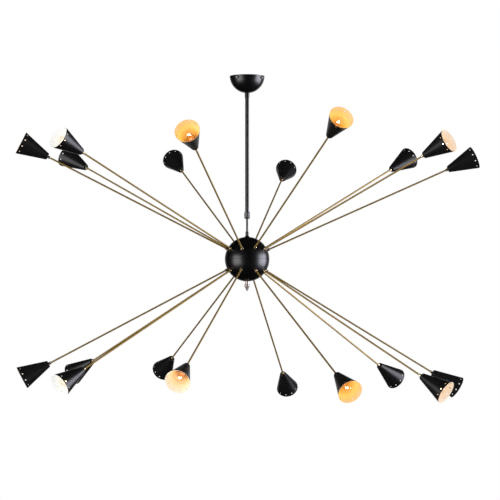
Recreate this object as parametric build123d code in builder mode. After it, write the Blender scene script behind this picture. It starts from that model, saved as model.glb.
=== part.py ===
"""Sputnik chandelier: twenty cone shades on straight brass arms round a black ball hub.

Millimetres, +Z up. The origin is the middle of the ceiling bracket, on the ceiling.
The front of the light is towards -Y. An azimuth is counted from the front towards +X.
"""
from math import cos, radians, sin, sqrt
import os

from build123d import *

os.makedirs("parts", exist_ok=True)

# ---------------------------------------------------------------- driving dimensions
hub_drop = 630.0                # ceiling to the middle of the hub
running_gap = 0.3               # between pieces that move past each other
fit_gap = 0.05                  # radial clearance of a turned running fit
hole_clearance = 0.1            # radial clearance of a bolt or spigot in its hole

# ceiling bracket: a pressed plate with ears that are bent down inside the canopy
plate_thickness = 1.5
cable_hole_radius = 22.0
ceiling_slot_spacing = 70.0
ceiling_slot_length = 12.0
ceiling_slot_width = 5.0
ear_width = 14.0
ear_thickness = 2.0
ear_depth = 15.0

# canopy and its side screws
canopy_radius = 60.0
canopy_depth = 58.0
canopy_wall = 1.2
canopy_rim_gap = 0.5            # the rim stays a hair below the ceiling
side_screw_count = 4
side_screw_azimuth = -33.5
side_screw_drop = 9.0           # ceiling to the screws' axes
side_screw_radius = 2.0
side_screw_reach = 4.0          # how far a screw comes through its ear
side_screw_head_radius = 4.0
side_screw_head_height = 5.5
side_screw_head_fillet = 1.8

# terminal block under the plate, and the cable that runs down the stem from it
block_width = 30.0
block_depth = 13.0
block_height = 15.0
block_edge_radius = 1.3
block_offset = 28.0             # stem axis to the block's near face
block_wire_hole_radius = 1.6
block_wire_offset = 10.0        # each wire hole from the middle of the block
cable_radius = 2.4
cable_bend_radius = 24.0

# outer tube of the stem, with the threaded spigot and the collar brazed to its top
outer_tube_radius = 6.75
outer_tube_wall = 1.25
stem_collar_radius = 8.0
stem_collar_height = 17.0
stem_spigot_radius = 5.0
stem_spigot_wall = 1.5
stem_spigot_reach = 4.0         # how far the spigot stands out of its nut
stem_spigot_root = 3.5          # solid end of the tube under the spigot
canopy_nut_across_flats = 14.0
canopy_nut_height = 5.0
canopy_nut_flange_radius = 9.0
canopy_nut_flange_height = 1.2

# lock collar and the split collet that it squeezes on the inner tube
lock_collar_top = 162.0         # above the middle of the hub
lock_collar_height = 24.0
lock_collar_radius = 9.8
lock_collar_thread = 12.0       # length on the outer tube
lock_collar_top_chamfer = 2.0
lock_collar_bottom_chamfer = 3.0
knurl_count = 30
knurl_radius = 0.45
collet_lead = 8.0
collet_flange_radius = 6.4
collet_flange_height = 4.0
collet_nose_radius = 4.6
collet_nose_height = 5.0
collet_slit = 0.8

# inner tube of the stem
inner_tube_radius = 3.5
inner_tube_wall = 0.75
stem_drop_travel = 300.0
stem_rise_clearance = 1.0       # left between coupling and lock collar when raised
stop_ring_length = 6.0

# hub: two half shells clamped between a coupling and a finial by a hollow rod
hub_radius = 76.5
hub_wall = 1.5
hub_lip_height = 4.0
hub_lip_wall = 1.2
hub_lip_bond = 0.75             # how deep the lip's foot sits in the lower shell
hub_seam_chamfer = 0.4
rod_radius = 5.0
rod_wall = 1.5
rod_window_width = 4.0
rod_window_height = 18.0
rod_thread_reach = 8.0          # into the coupling and into the finial
rod_nut_across_flats = 14.0
rod_nut_height = 5.0
coupling_height = 18.0
coupling_radius = 5.7
coupling_fillet = 0.7
coupling_foot_radius = 9.0
coupling_foot_height = 3.5
coupling_tube_seat = 8.5

finial_length = 33.0
finial_neck_radius = 7.3
finial_neck_length = 10.0
finial_bead_radius = 10.0
finial_bead_height = 5.0
finial_tip_radius = 3.2

# arms: two rings of ten, every arm on a line through the middle of the hub
arms_per_ring = 10
first_azimuth = -13.0
arm_angle = 27.75               # of both rings, up and down from level
arm_droop = 1.1                 # what the weight of the shades takes off that
# As the light hangs, each arm stands a little off its even place: (turn, lift) in degrees
upper_nudges = [(-0.5, -1.5), (-0.5, 2), (-3, -1.5), (-1, -2.5), (-1.5, 0),
                (2, -1.5), (-1.5, 1), (-0.5, 0), (4.5, 0), (-1.5, -1)]
lower_nudges = [(-3, 1.5), (2, -1), (1, -2), (5, -2), (2.5, -0.5),
                (1, -3.5), (1.5, 1.5), (-3, 1), (0, 1), (-3, 0)]
arm_radius = 3.0
arm_wall = 0.6
arm_inner_reach = 3.0           # how far an arm stands out of its nut inside the hub

# the same ferrule closes both ends of an arm
ferrule_radius = 4.8
ferrule_length = 9.0
ferrule_chamfer = 0.8
ferrule_spigot_radius = 3.7
ferrule_spigot_length = 8.0
arm_nut_across_flats = 10.0
arm_nut_height = 3.5

# shades: spun cones on the arms' axes
shade_start = 763.5             # middle of the hub to the shade's narrow end
shade_length = 102.0
shade_narrow_radius = 11.0
shade_mouth_radius = 40.0
shade_wall = 1.0
shade_shoulder_fillet = 2.5
shade_rim_fillet = 0.25
shade_hole_count = 10
shade_hole_radius = 2.2
shade_hole_inset = 9.0          # rim to the ring of holes

# lampholder and bulb, measured along the arm from the shade's narrow end
holder_neck_radius = 7.0
holder_neck_top = 10.0
holder_radius = 12.0
holder_top = 54.0
holder_edge_fillet = 1.5
bulb_cap_radius = 6.8
bulb_cap_start = 34.0
bulb_centre = 76.0
bulb_radius = 17.5
bulb_shoulder_angle = -40.0     # where the neck meets the ball, from its equator
bulb_wall = 1.0
bulb_pip_radius = 1.2           # the open pip that the cap's contact closes

# wiring harness in the hub and the arms
wire_radius = 1.3
splice_radius = 13.0
splice_height = 20.0

# ---------------------------------------------------------------- places worked out
hub_centre = Vector(0, 0, -hub_drop)
middle_down = (Align.CENTER, Align.CENTER, Align.MAX)
middle_up = (Align.CENTER, Align.CENTER, Align.MIN)


def seat_height(ball_radius, edge_radius):
    """How high a flat washer of edge_radius sits over the middle of a ball."""
    return sqrt(ball_radius**2 - edge_radius**2)


def corner_radius(across_flats):
    """Radius over the corners of a hexagon nut."""
    return across_flats / 2 / cos(radians(30))


def arm_place(azimuth, lift):
    """A place at the middle of the hub whose Z runs out along an arm."""
    turn, rise = radians(azimuth), radians(lift)
    across = Vector(cos(turn), sin(turn), 0)
    along = Vector(sin(turn) * cos(rise), -cos(turn) * cos(rise), sin(rise))
    return Plane(origin=hub_centre, x_dir=across, z_dir=along).location


def ring_places(level, nudges):
    """The arms of one ring, from the front round towards +X."""
    step = 360 / arms_per_ring
    places = []
    for index in range(arms_per_ring):
        turn, lift = nudges[index % len(nudges)]
        places.append(arm_place(first_azimuth + index * step + turn, level + lift))
    return places


upper_places = ring_places(arm_angle - arm_droop, upper_nudges)
lower_places = ring_places(-arm_angle - arm_droop, lower_nudges)
arm_places = upper_places + lower_places

# canopy: a slice of a ball, rim up
canopy_bottom = -canopy_rim_gap - canopy_depth
canopy_ball_radius = (canopy_radius**2 + canopy_depth**2) / (2 * canopy_depth)
canopy_ball_z = canopy_bottom + canopy_ball_radius
canopy_inner_ball = canopy_ball_radius - canopy_wall
stem_hole_radius = stem_spigot_radius + hole_clearance
stem_seat_z = canopy_ball_z - seat_height(canopy_ball_radius, stem_hole_radius)
stem_spigot_bore = stem_spigot_radius - stem_spigot_wall
stem_root_z = stem_seat_z - stem_spigot_root
canopy_nut_z = canopy_ball_z - seat_height(canopy_inner_ball, canopy_nut_flange_radius)
canopy_nut_top = canopy_nut_z + canopy_nut_flange_height + canopy_nut_height

# side screws: their heads rest on the canopy's wall at their upper edge
screw_head_seat = seat_height(canopy_ball_radius,
                              canopy_ball_z + side_screw_drop - side_screw_head_radius)
ear_outer_radius = seat_height(canopy_inner_ball, canopy_ball_z + ear_depth)
ear_face = seat_height(ear_outer_radius, ear_width / 2) - running_gap
screw_angles = [side_screw_azimuth - 90 + index * 360 / side_screw_count
                for index in range(side_screw_count)]
screw_places = [Plane(origin=(0, 0, -side_screw_drop), x_dir=(0, 0, 1),
                      z_dir=(cos(radians(angle)), sin(radians(angle)), 0)).location
                for angle in screw_angles]

# stem, from the lock collar up and down
collar_top_z = lock_collar_top - hub_drop
collar_bottom_z = collar_top_z - lock_collar_height
outer_tube_end = collar_top_z - lock_collar_thread
outer_tube_bore = outer_tube_radius - outer_tube_wall
collet_top_z = outer_tube_end + collet_lead
collet_flange_z = outer_tube_end - running_gap
collet_cone_z = collet_flange_z - collet_flange_height
collet_bottom_z = collet_cone_z - collet_nose_height
collet_bore = inner_tube_radius + fit_gap
inner_tube_bore = inner_tube_radius - inner_tube_wall
inner_tube_top = collet_top_z + running_gap + stem_drop_travel + stop_ring_length

# hub
rod_hole_radius = rod_radius + hole_clearance
rod_bore = rod_radius - rod_wall
hub_seat = seat_height(hub_radius, rod_hole_radius)
coupling_foot_z = -hub_drop + hub_seat
coupling_top_z = coupling_foot_z + coupling_height
coupling_web_z = coupling_top_z - coupling_tube_seat
finial_top_z = -hub_drop - hub_seat
rod_top_z = coupling_foot_z + rod_thread_reach
rod_bottom_z = finial_top_z - rod_thread_reach
hub_inner_radius = hub_radius - hub_wall
rod_nut_z = -hub_drop + seat_height(hub_inner_radius, corner_radius(rod_nut_across_flats))

# arms, measured out from the middle of the hub
arm_bore = arm_radius - arm_wall
ferrule_hole_radius = ferrule_spigot_radius + hole_clearance
ferrule_seat = seat_height(hub_radius, ferrule_hole_radius)
spigot_start = ferrule_seat - ferrule_spigot_length
spigot_end = shade_start + ferrule_spigot_length
arm_start = spigot_start - arm_inner_reach
arm_nut_top = seat_height(hub_inner_radius, corner_radius(arm_nut_across_flats))

stem_rise_travel = collar_bottom_z - coupling_top_z - stem_rise_clearance
print(f"stem travel: {stem_drop_travel:.1f} down, {stem_rise_travel:.1f} up")
print(f"hub middle at z {-hub_drop:.1f}, tip of the finial at {finial_top_z - finial_length:.1f}")

# ---------------------------------------------------------------- ceiling bracket
with BuildPart() as ceiling_bracket:
    with BuildSketch(Plane.XY.offset(-plate_thickness)):
        Circle(ear_face)
        Circle(cable_hole_radius, mode=Mode.SUBTRACT)
        with GridLocations(ceiling_slot_spacing, 0, 2, 1):
            SlotOverall(ceiling_slot_length, ceiling_slot_width, mode=Mode.SUBTRACT)
    extrude(amount=plate_thickness)
    with BuildSketch(Plane.XY.offset(-ear_depth)):
        with PolarLocations(ear_face - ear_thickness / 2, side_screw_count,
                            start_angle=screw_angles[0]):
            Rectangle(ear_thickness, ear_width)
    extrude(amount=ear_depth)
    with Locations(*screw_places):
        Cylinder(side_screw_radius, ear_face + ear_thickness, align=middle_up,
                 mode=Mode.SUBTRACT)
ceiling_bracket.part.label = "ceiling_bracket"
export_step(ceiling_bracket.part, "parts/ceiling_bracket.step")

# ---------------------------------------------------------------- canopy
with BuildPart() as canopy_dome:
    with BuildSketch(Plane.XZ):
        with Locations((0, canopy_ball_z)):
            Circle(canopy_ball_radius)
            Circle(canopy_inner_ball, mode=Mode.SUBTRACT)
        with Locations((stem_hole_radius, -canopy_rim_gap)):
            Rectangle(canopy_radius, canopy_depth, align=(Align.MIN, Align.MAX),
                      mode=Mode.INTERSECT)
    revolve(axis=Axis.Z)
    with Locations(*screw_places):
        Cylinder(side_screw_radius + hole_clearance, canopy_radius + canopy_wall,
                 align=middle_up, mode=Mode.SUBTRACT)
canopy_dome.part.label = "canopy_dome"
export_step(canopy_dome.part, "parts/canopy_dome.step")

with BuildPart() as side_screw:
    with BuildSketch(Plane.XY.offset(ear_face - ear_thickness - side_screw_reach)):
        Circle(side_screw_radius)
    extrude(amount=screw_head_seat - ear_face + ear_thickness + side_screw_reach)
    with BuildSketch(Plane.XY.offset(screw_head_seat)):
        Circle(side_screw_head_radius)
    extrude(amount=side_screw_head_height)
    fillet(side_screw.edges().group_by(Axis.Z)[-1], side_screw_head_fillet)

with BuildPart() as canopy_screws:
    with Locations(*screw_places):
        add(side_screw.part)
canopy_screws.part.label = "canopy_screws"
export_step(canopy_screws.part, "parts/canopy_screws.step")

with BuildPart() as canopy_lock_nut:
    with BuildSketch(Plane.XY.offset(canopy_nut_z)):
        Circle(canopy_nut_flange_radius)
        Circle(stem_spigot_radius, mode=Mode.SUBTRACT)
    extrude(amount=canopy_nut_flange_height)
    with BuildSketch(Plane.XY.offset(canopy_nut_z + canopy_nut_flange_height)):
        RegularPolygon(canopy_nut_across_flats / 2, 6, major_radius=False)
        Circle(stem_spigot_radius, mode=Mode.SUBTRACT)
    extrude(amount=canopy_nut_height)
canopy_lock_nut.part.label = "canopy_lock_nut"
export_step(canopy_lock_nut.part, "parts/canopy_lock_nut.step")

# ---------------------------------------------------------------- terminal block
block_wire_z = -plate_thickness - block_height / 2
with BuildPart() as terminal_block:
    with Locations((0, block_offset, -plate_thickness)):
        Box(block_width, block_depth, block_height, align=(Align.CENTER, Align.MIN, Align.MAX))
    fillet(terminal_block.edges().filter_by(Axis.Z), block_edge_radius)
    with BuildSketch(Plane.XZ.offset(-block_offset)):
        with Locations((-block_wire_offset, block_wire_z), (block_wire_offset, block_wire_z)):
            Circle(block_wire_hole_radius)
    extrude(amount=-block_depth, mode=Mode.SUBTRACT)
terminal_block.part.label = "terminal_block"
export_step(terminal_block.part, "parts/terminal_block.step")

# ---------------------------------------------------------------- cable down the stem
with BuildPart() as stem_cable:
    with BuildLine():
        FilletPolyline(hub_centre, (0, 0, block_wire_z), (0, block_offset, block_wire_z),
                       radius=cable_bend_radius)
    with BuildSketch(Plane(origin=hub_centre)):
        Circle(cable_radius)
    sweep()
stem_cable.part.label = "stem_cable"
export_step(stem_cable.part, "parts/stem_cable.step")

# ---------------------------------------------------------------- stem
with BuildPart() as stem_outer_tube:
    with BuildSketch(Plane.XZ):
        with BuildLine():
            Polyline((stem_spigot_bore, canopy_nut_top + stem_spigot_reach),
                     (stem_spigot_radius, canopy_nut_top + stem_spigot_reach),
                     (stem_spigot_radius, stem_seat_z),
                     (stem_collar_radius, stem_seat_z),
                     (stem_collar_radius, stem_seat_z - stem_collar_height),
                     (outer_tube_radius, stem_seat_z - stem_collar_height),
                     (outer_tube_radius, outer_tube_end),
                     (outer_tube_bore, outer_tube_end),
                     (outer_tube_bore, stem_root_z),
                     (stem_spigot_bore, stem_root_z),
                     close=True)
        make_face()
    revolve(axis=Axis.Z)
stem_outer_tube.part.label = "stem_outer_tube"
export_step(stem_outer_tube.part, "parts/stem_outer_tube.step")

with BuildPart() as stem_lock_collar:
    with BuildSketch(Plane.XZ):
        with BuildLine():
            Polyline((outer_tube_radius + fit_gap, collar_top_z),
                     (lock_collar_radius - lock_collar_top_chamfer, collar_top_z),
                     (lock_collar_radius, collar_top_z - lock_collar_top_chamfer),
                     (lock_collar_radius, collar_bottom_z + lock_collar_bottom_chamfer),
                     (lock_collar_radius - lock_collar_bottom_chamfer, collar_bottom_z),
                     (inner_tube_radius + running_gap, collar_bottom_z),
                     (inner_tube_radius + running_gap, collet_bottom_z - running_gap),
                     (collet_nose_radius + running_gap, collet_bottom_z - running_gap),
                     (outer_tube_radius + fit_gap, collet_cone_z - running_gap),
                     close=True)
        make_face()
    revolve(axis=Axis.Z)
    knurl_height = lock_collar_height - lock_collar_top_chamfer - lock_collar_bottom_chamfer
    with BuildSketch(Plane.XY.offset(collar_bottom_z + lock_collar_bottom_chamfer)):
        with PolarLocations(lock_collar_radius, knurl_count):
            Circle(knurl_radius)
    extrude(amount=knurl_height, mode=Mode.SUBTRACT)
stem_lock_collar.part.label = "stem_lock_collar"
export_step(stem_lock_collar.part, "parts/stem_lock_collar.step")

with BuildPart() as stem_collet:
    with BuildSketch(Plane.XZ):
        with BuildLine():
            Polyline((collet_bore, collet_top_z),
                     (outer_tube_bore - fit_gap, collet_top_z),
                     (outer_tube_bore - fit_gap, collet_flange_z),
                     (collet_flange_radius, collet_flange_z),
                     (collet_flange_radius, collet_cone_z),
                     (collet_nose_radius, collet_bottom_z),
                     (collet_bore, collet_bottom_z),
                     close=True)
        make_face()
    revolve(axis=Axis.Z)
    with Locations((0, 0, collet_top_z)):
        Box(collet_flange_radius, collet_slit, collet_top_z - collet_bottom_z,
            align=(Align.MIN, Align.CENTER, Align.MAX), mode=Mode.SUBTRACT)
stem_collet.part.label = "stem_collet"
export_step(stem_collet.part, "parts/stem_collet.step")

with BuildPart() as stem_inner_tube:
    with BuildSketch(Plane.XZ):
        with BuildLine():
            Polyline((inner_tube_bore, inner_tube_top),
                     (outer_tube_bore - 2 * fit_gap, inner_tube_top),
                     (outer_tube_bore - 2 * fit_gap, inner_tube_top - stop_ring_length),
                     (inner_tube_radius, inner_tube_top - stop_ring_length),
                     (inner_tube_radius, coupling_web_z),
                     (inner_tube_bore, coupling_web_z),
                     close=True)
        make_face()
    revolve(axis=Axis.Z)
stem_inner_tube.part.label = "stem_inner_tube"
export_step(stem_inner_tube.part, "parts/stem_inner_tube.step")

# ---------------------------------------------------------------- hub
with BuildPart() as hub_coupling:
    with BuildSketch(Plane.XZ):
        with BuildLine():
            Polyline((inner_tube_radius, coupling_top_z),
                     (coupling_radius, coupling_top_z),
                     (coupling_radius, coupling_foot_z + coupling_foot_height),
                     (coupling_foot_radius, coupling_foot_z),
                     (rod_radius, coupling_foot_z),
                     (rod_radius, rod_top_z),
                     (inner_tube_bore, rod_top_z),
                     (inner_tube_bore, coupling_web_z),
                     (inner_tube_radius, coupling_web_z),
                     close=True)
        make_face()
    revolve(axis=Axis.Z)
    fillet(hub_coupling.edges().group_by(Axis.Z)[-1].sort_by(SortBy.RADIUS)[-1],
           coupling_fillet)
hub_coupling.part.label = "hub_coupling"
export_step(hub_coupling.part, "parts/hub_coupling.step")

with BuildPart() as hub_upper_shell:
    with BuildSketch(Plane.XZ):
        with Locations((0, -hub_drop)):
            Circle(hub_radius)
            Circle(hub_inner_radius, mode=Mode.SUBTRACT)
        with Locations((rod_hole_radius, -hub_drop)):
            Rectangle(hub_radius, hub_radius, align=(Align.MIN, Align.MIN), mode=Mode.INTERSECT)
    revolve(axis=Axis.Z)
    chamfer(hub_upper_shell.edges().group_by(Axis.Z)[0].sort_by(SortBy.RADIUS)[-1],
            hub_seam_chamfer)
    with Locations(*upper_places):
        Cylinder(ferrule_hole_radius, hub_radius + hub_wall, align=middle_up,
                 mode=Mode.SUBTRACT)
hub_upper_shell.part.label = "hub_upper_shell"
export_step(hub_upper_shell.part, "parts/hub_upper_shell.step")

with BuildPart() as hub_lower_shell:
    with BuildSketch(Plane.XZ):
        with Locations((0, -hub_drop)):
            Circle(hub_radius)
            Circle(hub_inner_radius, mode=Mode.SUBTRACT)
        with Locations((rod_hole_radius, -hub_drop)):
            Rectangle(hub_radius, hub_radius, align=(Align.MIN, Align.MAX), mode=Mode.INTERSECT)
    revolve(axis=Axis.Z)
    chamfer(hub_lower_shell.edges().group_by(Axis.Z)[-1].sort_by(SortBy.RADIUS)[-1],
            hub_seam_chamfer)
    # a lip stands up inside the upper shell and lines the two halves up
    lip_radius = seat_height(hub_inner_radius, hub_lip_height) - hole_clearance
    with BuildSketch(Plane.XY.offset(-hub_drop - hub_lip_height)):
        Circle(lip_radius + hub_lip_bond)
        Circle(lip_radius - hub_lip_wall, mode=Mode.SUBTRACT)
    extrude(amount=hub_lip_height)
    with BuildSketch(Plane.XY.offset(-hub_drop)):
        Circle(lip_radius)
        Circle(lip_radius - hub_lip_wall, mode=Mode.SUBTRACT)
    extrude(amount=hub_lip_height)
    with Locations(*lower_places):
        Cylinder(ferrule_hole_radius, hub_radius + hub_wall, align=middle_up,
                 mode=Mode.SUBTRACT)
hub_lower_shell.part.label = "hub_lower_shell"
export_step(hub_lower_shell.part, "parts/hub_lower_shell.step")

with BuildPart() as hub_centre_rod:
    with BuildSketch(Plane.XY.offset(rod_bottom_z)):
        Circle(rod_radius)
        Circle(rod_bore, mode=Mode.SUBTRACT)
    extrude(amount=rod_top_z - rod_bottom_z)
    with Locations(hub_centre):
        Box(2 * rod_radius, rod_window_width, rod_window_height, mode=Mode.SUBTRACT)
hub_centre_rod.part.label = "hub_centre_rod"
export_step(hub_centre_rod.part, "parts/hub_centre_rod.step")

with BuildPart() as arm_nut:
    with BuildSketch(Plane.XY.offset(arm_nut_top - arm_nut_height)):
        RegularPolygon(arm_nut_across_flats / 2, 6, major_radius=False)
        Circle(ferrule_spigot_radius, mode=Mode.SUBTRACT)
    extrude(amount=arm_nut_height)

with BuildPart() as hub_lock_nuts:
    with BuildSketch(Plane.XY.offset(rod_nut_z - rod_nut_height)):
        RegularPolygon(rod_nut_across_flats / 2, 6, major_radius=False)
        Circle(rod_radius, mode=Mode.SUBTRACT)
    extrude(amount=rod_nut_height)
    with Locations(*arm_places):
        add(arm_nut.part)
hub_lock_nuts.part.label = "hub_lock_nuts"
export_step(hub_lock_nuts.part, "parts/hub_lock_nuts.step")

with BuildPart() as finial:
    bead_z = finial_top_z - finial_neck_length
    tip_z = finial_top_z - finial_length
    with BuildSketch(Plane.XZ):
        with BuildLine():
            Polyline((0, finial_top_z - rod_thread_reach),
                     (rod_radius, finial_top_z - rod_thread_reach),
                     (rod_radius, finial_top_z),
                     (finial_neck_radius, finial_top_z),
                     (finial_neck_radius, bead_z))
            ThreePointArc((finial_neck_radius, bead_z),
                          (finial_bead_radius, bead_z - finial_bead_height),
                          (finial_neck_radius, bead_z - 2 * finial_bead_height))
            Line((finial_neck_radius, bead_z - 2 * finial_bead_height),
                 (finial_tip_radius, tip_z + finial_tip_radius))
            RadiusArc((finial_tip_radius, tip_z + finial_tip_radius), (0, tip_z),
                      finial_tip_radius)
            Line((0, tip_z), (0, finial_top_z - rod_thread_reach))
        make_face()
    revolve(axis=Axis.Z)
finial.part.label = "finial"
export_step(finial.part, "parts/finial.step")

# ---------------------------------------------------------------- arms
with BuildPart() as arm_tube:
    with BuildSketch(Plane.XY.offset(arm_start)):
        Circle(arm_radius)
        Circle(arm_bore, mode=Mode.SUBTRACT)
    extrude(amount=spigot_end - arm_start)

with BuildPart() as hub_ferrule:
    with BuildSketch(Plane.XY.offset(ferrule_seat)):
        Circle(ferrule_radius)
    extrude(amount=ferrule_length)
    chamfer(hub_ferrule.edges().group_by(Axis.Z)[-1], ferrule_chamfer)
    with BuildSketch(Plane.XY.offset(spigot_start)):
        Circle(ferrule_spigot_radius)
    extrude(amount=ferrule_spigot_length)
    with Locations((0, 0, spigot_start)):
        Cylinder(arm_radius, ferrule_spigot_length + ferrule_length, align=middle_up,
                 mode=Mode.SUBTRACT)

with BuildPart() as shade_ferrule:
    with BuildSketch(Plane.XY.offset(shade_start - ferrule_length)):
        Circle(ferrule_radius)
    extrude(amount=ferrule_length)
    chamfer(shade_ferrule.edges().group_by(Axis.Z)[0], ferrule_chamfer)
    with BuildSketch(Plane.XY.offset(shade_start)):
        Circle(ferrule_spigot_radius)
    extrude(amount=ferrule_spigot_length)
    with Locations((0, 0, spigot_end)):
        Cylinder(arm_radius, ferrule_spigot_length + ferrule_length, align=middle_down,
                 mode=Mode.SUBTRACT)

with BuildPart() as arm_ferrules:
    with Locations(*arm_places):
        add(hub_ferrule.part)
        add(shade_ferrule.part)
arm_ferrules.part.label = "arm_ferrules"
export_step(arm_ferrules.part, "parts/arm_ferrules.step")

# ---------------------------------------------------------------- shades
shade_end = shade_start + shade_length
shade_slope = (shade_mouth_radius - shade_narrow_radius) / shade_length
shade_level_wall = shade_wall * sqrt(1 + shade_slope**2)
with BuildPart() as cone_shade:
    with BuildSketch(Plane.XZ):
        with BuildLine():
            Polyline((ferrule_hole_radius, shade_start),
                     (shade_narrow_radius, shade_start),
                     (shade_mouth_radius, shade_end),
                     (shade_mouth_radius - shade_level_wall, shade_end),
                     (shade_narrow_radius - shade_level_wall + shade_slope * shade_wall,
                      shade_start + shade_wall),
                     (ferrule_hole_radius, shade_start + shade_wall),
                     close=True)
        make_face()
    revolve(axis=Axis.Z)
    fillet(cone_shade.edges().group_by(Axis.Z)[0].sort_by(SortBy.RADIUS)[-1],
           shade_shoulder_fillet)
    fillet(cone_shade.edges().group_by(Axis.Z)[-1], shade_rim_fillet)
    with Locations((0, 0, shade_end - shade_hole_inset)):
        with PolarLocations(0, shade_hole_count):
            Cylinder(shade_hole_radius, shade_mouth_radius, rotation=(0, 90, 0),
                     align=middle_up, mode=Mode.SUBTRACT)

# ---------------------------------------------------------------- lampholders and bulbs
with BuildPart() as lampholder:
    with BuildSketch(Plane.XZ):
        with BuildLine():
            Polyline((ferrule_spigot_radius, shade_start + shade_wall),
                     (holder_neck_radius, shade_start + shade_wall),
                     (holder_neck_radius, shade_start + holder_neck_top),
                     (holder_radius, shade_start + holder_neck_top),
                     (holder_radius, shade_start + holder_top),
                     (bulb_cap_radius + hole_clearance, shade_start + holder_top),
                     (bulb_cap_radius + hole_clearance, shade_start + bulb_cap_start),
                     (0, shade_start + bulb_cap_start),
                     (0, spigot_end + running_gap),
                     (ferrule_spigot_radius, spigot_end + running_gap),
                     close=True)
        make_face()
    revolve(axis=Axis.Z)
    fillet(lampholder.edges().group_by(Axis.Z)[-1].sort_by(SortBy.RADIUS)[-1],
           holder_edge_fillet)

with BuildPart() as bulb:
    with BuildSketch(Plane.XZ):
        with BuildLine():
            glass = CenterArc((0, shade_start + bulb_centre), bulb_radius, bulb_shoulder_angle,
                              90 - bulb_shoulder_angle)
            Polyline(glass @ 1, (0, shade_start + bulb_cap_start),
                     (bulb_cap_radius, shade_start + bulb_cap_start),
                     (bulb_cap_radius, shade_start + holder_top),
                     glass @ 0)
        make_face()
        offset(amount=-bulb_wall, mode=Mode.SUBTRACT)
        # the wall is open at the axis: down to the pip, and across the middle
        with Locations((0, shade_start + bulb_cap_start)):
            Rectangle(bulb_pip_radius, bulb_centre - bulb_cap_start + bulb_radius - bulb_wall,
                      align=(Align.MIN, Align.MIN), mode=Mode.SUBTRACT)
    revolve(axis=Axis.Z)

with BuildPart() as lampholders:
    with Locations(*arm_places):
        add(lampholder.part)
lampholders.part.label = "lampholders"
export_step(lampholders.part, "parts/lampholders.step")

with BuildPart() as bulbs:
    with Locations(*arm_places):
        add(bulb.part)
bulbs.part.label = "bulbs"
export_step(bulbs.part, "parts/bulbs.step")

# ---------------------------------------------------------------- wiring harness
with BuildPart() as wiring_harness:
    with BuildSketch(Plane.XY.offset(-hub_drop - splice_height / 2)):
        Circle(splice_radius)
        Circle(rod_radius + running_gap, mode=Mode.SUBTRACT)
    extrude(amount=splice_height)
    with Locations(*arm_places):
        with Locations((0, 0, splice_radius - wire_radius)):
            Cylinder(wire_radius, spigot_end - splice_radius + wire_radius, align=middle_up)
wiring_harness.part.label = "wiring_harness"
export_step(wiring_harness.part, "parts/wiring_harness.step")

# ---------------------------------------------------------------- one arm and one shade each
for ring, places in (("upper", upper_places), ("lower", lower_places)):
    for number, place in enumerate(places, start=1):
        with BuildPart() as arm:
            with Locations(place):
                add(arm_tube.part)
        arm.part.label = f"arm_{ring}_{number:02d}"
        export_step(arm.part, f"parts/arm_{ring}_{number:02d}.step")

        with BuildPart() as shade:
            with Locations(place):
                add(cone_shade.part)
        shade.part.label = f"shade_{ring}_{number:02d}"
        export_step(shade.part, f"parts/shade_{ring}_{number:02d}.step")
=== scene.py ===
# %% [markdown]
# # A sputnik chandelier
# Twenty cone shades stand on straight brass arms round a black ball. A telescopic stem
# carries the ball under a dome canopy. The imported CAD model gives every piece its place.
# Here the pieces get their finishes, and the lamps get the fine shapes that the CAD model
# leaves out. All lengths are in metres, with +Z up and the origin on the ceiling.

# %% Load the frame
import math

import bmesh
import bpy
from mathutils import Matrix, Vector


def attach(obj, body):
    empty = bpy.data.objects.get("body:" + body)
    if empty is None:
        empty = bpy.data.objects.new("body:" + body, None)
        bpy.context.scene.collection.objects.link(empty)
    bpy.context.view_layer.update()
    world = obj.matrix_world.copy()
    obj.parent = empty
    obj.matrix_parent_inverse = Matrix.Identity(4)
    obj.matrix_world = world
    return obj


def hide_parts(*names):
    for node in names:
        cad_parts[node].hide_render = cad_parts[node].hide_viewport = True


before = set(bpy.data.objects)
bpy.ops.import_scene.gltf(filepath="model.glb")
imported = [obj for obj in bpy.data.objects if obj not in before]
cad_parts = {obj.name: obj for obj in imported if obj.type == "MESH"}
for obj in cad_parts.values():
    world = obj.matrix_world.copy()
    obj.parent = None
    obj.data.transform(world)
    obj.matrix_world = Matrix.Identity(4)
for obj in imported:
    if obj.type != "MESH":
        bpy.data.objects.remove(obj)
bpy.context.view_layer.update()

# %% [markdown]
# ## Where the arms point
# All arms lie on lines through the middle of the hub. Each direction could be typed in again,
# but reading it from the arm's own CAD mesh keeps the two files together: the middle of a
# straight tube lies on its line.

# %% Arm directions
hub_middle = Vector((0, 0, -0.630))
arm_names = [f"{ring}_{number:02d}" for ring in ("upper", "lower") for number in range(1, 11)]


def arm_line(name):
    """The direction in which the arm runs out from the middle of the hub."""
    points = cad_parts["arm_" + name].data.vertices
    middle = sum((point.co for point in points), Vector()) / len(points)
    return (middle - hub_middle).normalized()


def arm_matrix(name):
    """Stands a lamp piece, made upright at the origin, on its arm."""
    along = arm_line(name)
    azimuth = math.atan2(along.x, -along.y)
    across = Vector((math.cos(azimuth), math.sin(azimuth), 0))
    up = along.cross(across)
    seat = Matrix((across, up, along)).transposed().to_4x4()
    return Matrix.Translation(hub_middle) @ seat


print("arms:", len(arm_names), "first direction:", [round(x, 3) for x in arm_line("upper_01")])

# %% [markdown]
# ## The camera
# The photograph was taken from about seven metres away with a long lens, from a little below
# the ball and tipped two degrees up. The lens is found from the image: 500 pixels are the 36 mm
# of the sensor, and the twenty lamps fit the picture best at 1980 pixels of focal length.

# %% Camera
focal_pixels = 1980
image_pixels = 500
camera_pitch = 2.088
camera_yaw = 0.084

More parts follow.
